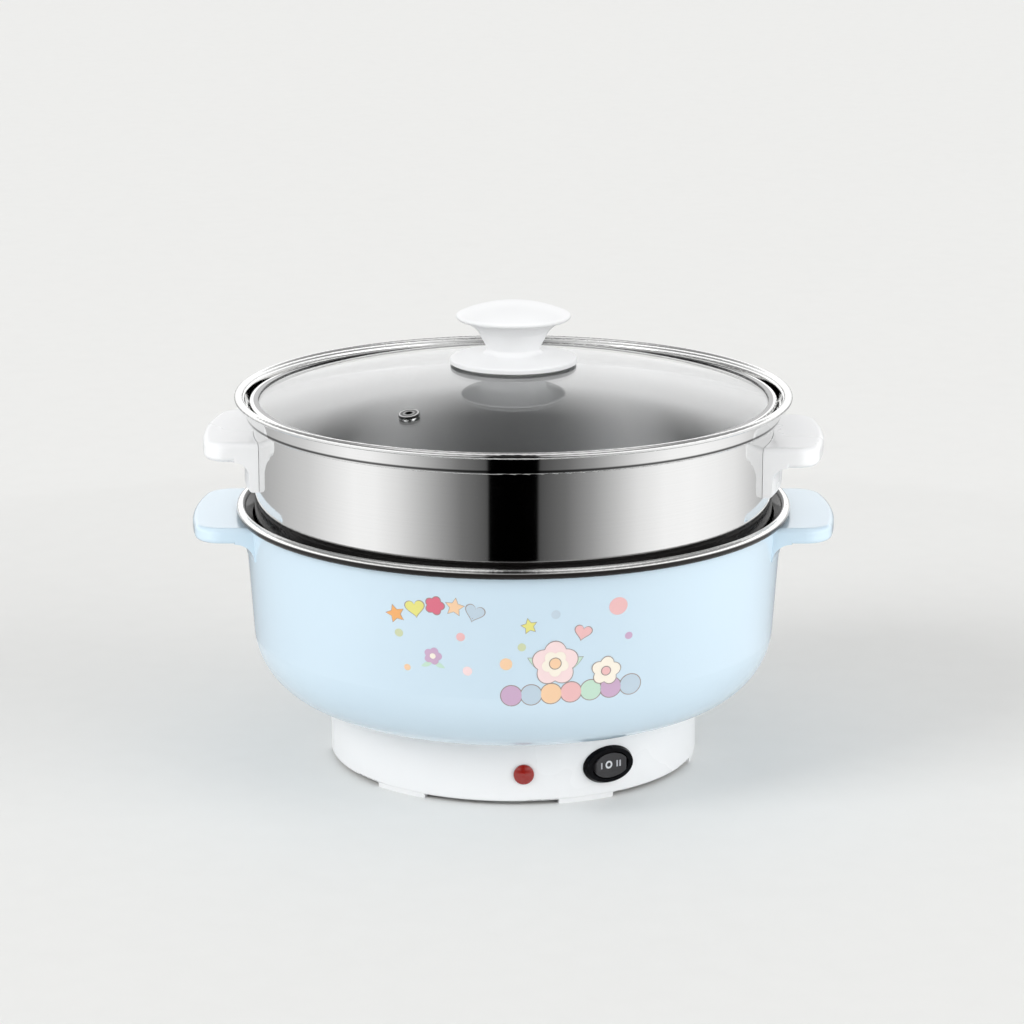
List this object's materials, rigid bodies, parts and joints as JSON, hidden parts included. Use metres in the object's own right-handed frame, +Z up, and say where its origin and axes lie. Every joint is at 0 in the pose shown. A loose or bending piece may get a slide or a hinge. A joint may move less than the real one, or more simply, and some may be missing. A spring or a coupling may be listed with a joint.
{
  "type": "electric hot pot with steamer basket and glass lid",
  "caption": "Round electric hot pot on a heated base, with a steel steamer basket and a domed glass lid that lift off, side handles and a rocker switch.",
  "frame": {"origin": "centre of the pot at the level its feet stand on", "axes": "+X through the right-hand handles, +Y towards the back (power inlet), +Z up"},
  "size_m": [0.324, 0.28, 0.2332],
  "materials": {
    "shell_blue": "glossy moulded plastic, light blue",
    "white_plastic": "glossy moulded plastic, white",
    "nonstick_coat": "pressed aluminium with a glossy black non-stick coat",
    "mirror_steel": "mirror-polished stainless steel",
    "lid_glass": "clear tempered glass",
    "cast_aluminium": "cast, matt",
    "guard_aluminium": "bright rolled sheet",
    "zinc_steel": "zinc-plated",
    "brass": "plain brass",
    "black_plastic": "glossy moulded plastic, black",
    "red_lens": "translucent red",
    "lamp_glass": "glow lamp glass",
    "thermostat_body": "phenolic, brown",
    "silicone": "silicone, milky",
    "lead_brown": "insulated wire",
    "lead_blue": "insulated wire",
    "lead_white": "insulated wire",
    "lead_green": "insulated wire",
    "fuse_sleeve": "glass-fibre sleeve"
  },
  "bodies": {
    "pot": {"outer_shell": "shell_blue", "inner_pot": "nonstick_coat", "pot_studs": "zinc_steel", "heater_plate": "cast_aluminium", "element_terminals": "zinc_steel", "thermostat": "thermostat_body", "thermostat_strap": "zinc_steel", "heat_shield": "guard_aluminium", "base_nuts": "zinc_steel", "base_housing": "white_plastic", "bottom_cover": "white_plastic", "cover_screws": "zinc_steel", "switch_frame": "black_plastic", "switch_terminals": "brass", "indicator_lens": "red_lens", "indicator_clip": "zinc_steel", "indicator_lamp": "lamp_glass", "power_inlet": "black_plastic", "inlet_pins": "brass", "thermal_fuse": "fuse_sleeve", "lead_inlet_fuse": "lead_brown", "lead_fuse_switch": "lead_brown", "lead_low_heat": "lead_white", "lead_high_heat": "lead_white", "lead_neutral": "lead_blue", "lead_link": "lead_blue", "lead_earth": "lead_green"},
    "rocker": {"switch_rocker": "black_plastic"},
    "steamer": {"steamer_pan": "mirror_steel", "steamer_handle_right": "white_plastic", "steamer_handle_left": "white_plastic", "steamer_handle_screws": "zinc_steel"},
    "lid": {"lid_glass": "lid_glass", "lid_rim_band": "mirror_steel", "lid_vent_eyelet": "mirror_steel", "lid_knob": "white_plastic", "lid_knob_gasket": "silicone", "lid_knob_insert": "brass", "lid_soft_washer": "silicone", "lid_steel_washer": "zinc_steel", "lid_knob_screw": "zinc_steel"}
  },
  "joints": [
    {"name": "steamer_lift", "type": "slide", "parent": "pot", "child": "steamer", "axis": [0, 0, 1], "range_m": [0, 0.15]},
    {"name": "lid_lift", "type": "slide", "parent": "steamer", "child": "lid", "axis": [0, 0, 1], "range_m": [0, 0.12]},
    {"name": "rocker_tilt", "type": "hinge", "parent": "pot", "child": "rocker", "pos_m": [0.04595, -0.07959, 0.0174], "axis": [0, 0, 1], "range_deg": [-10, 10]}
  ]
}
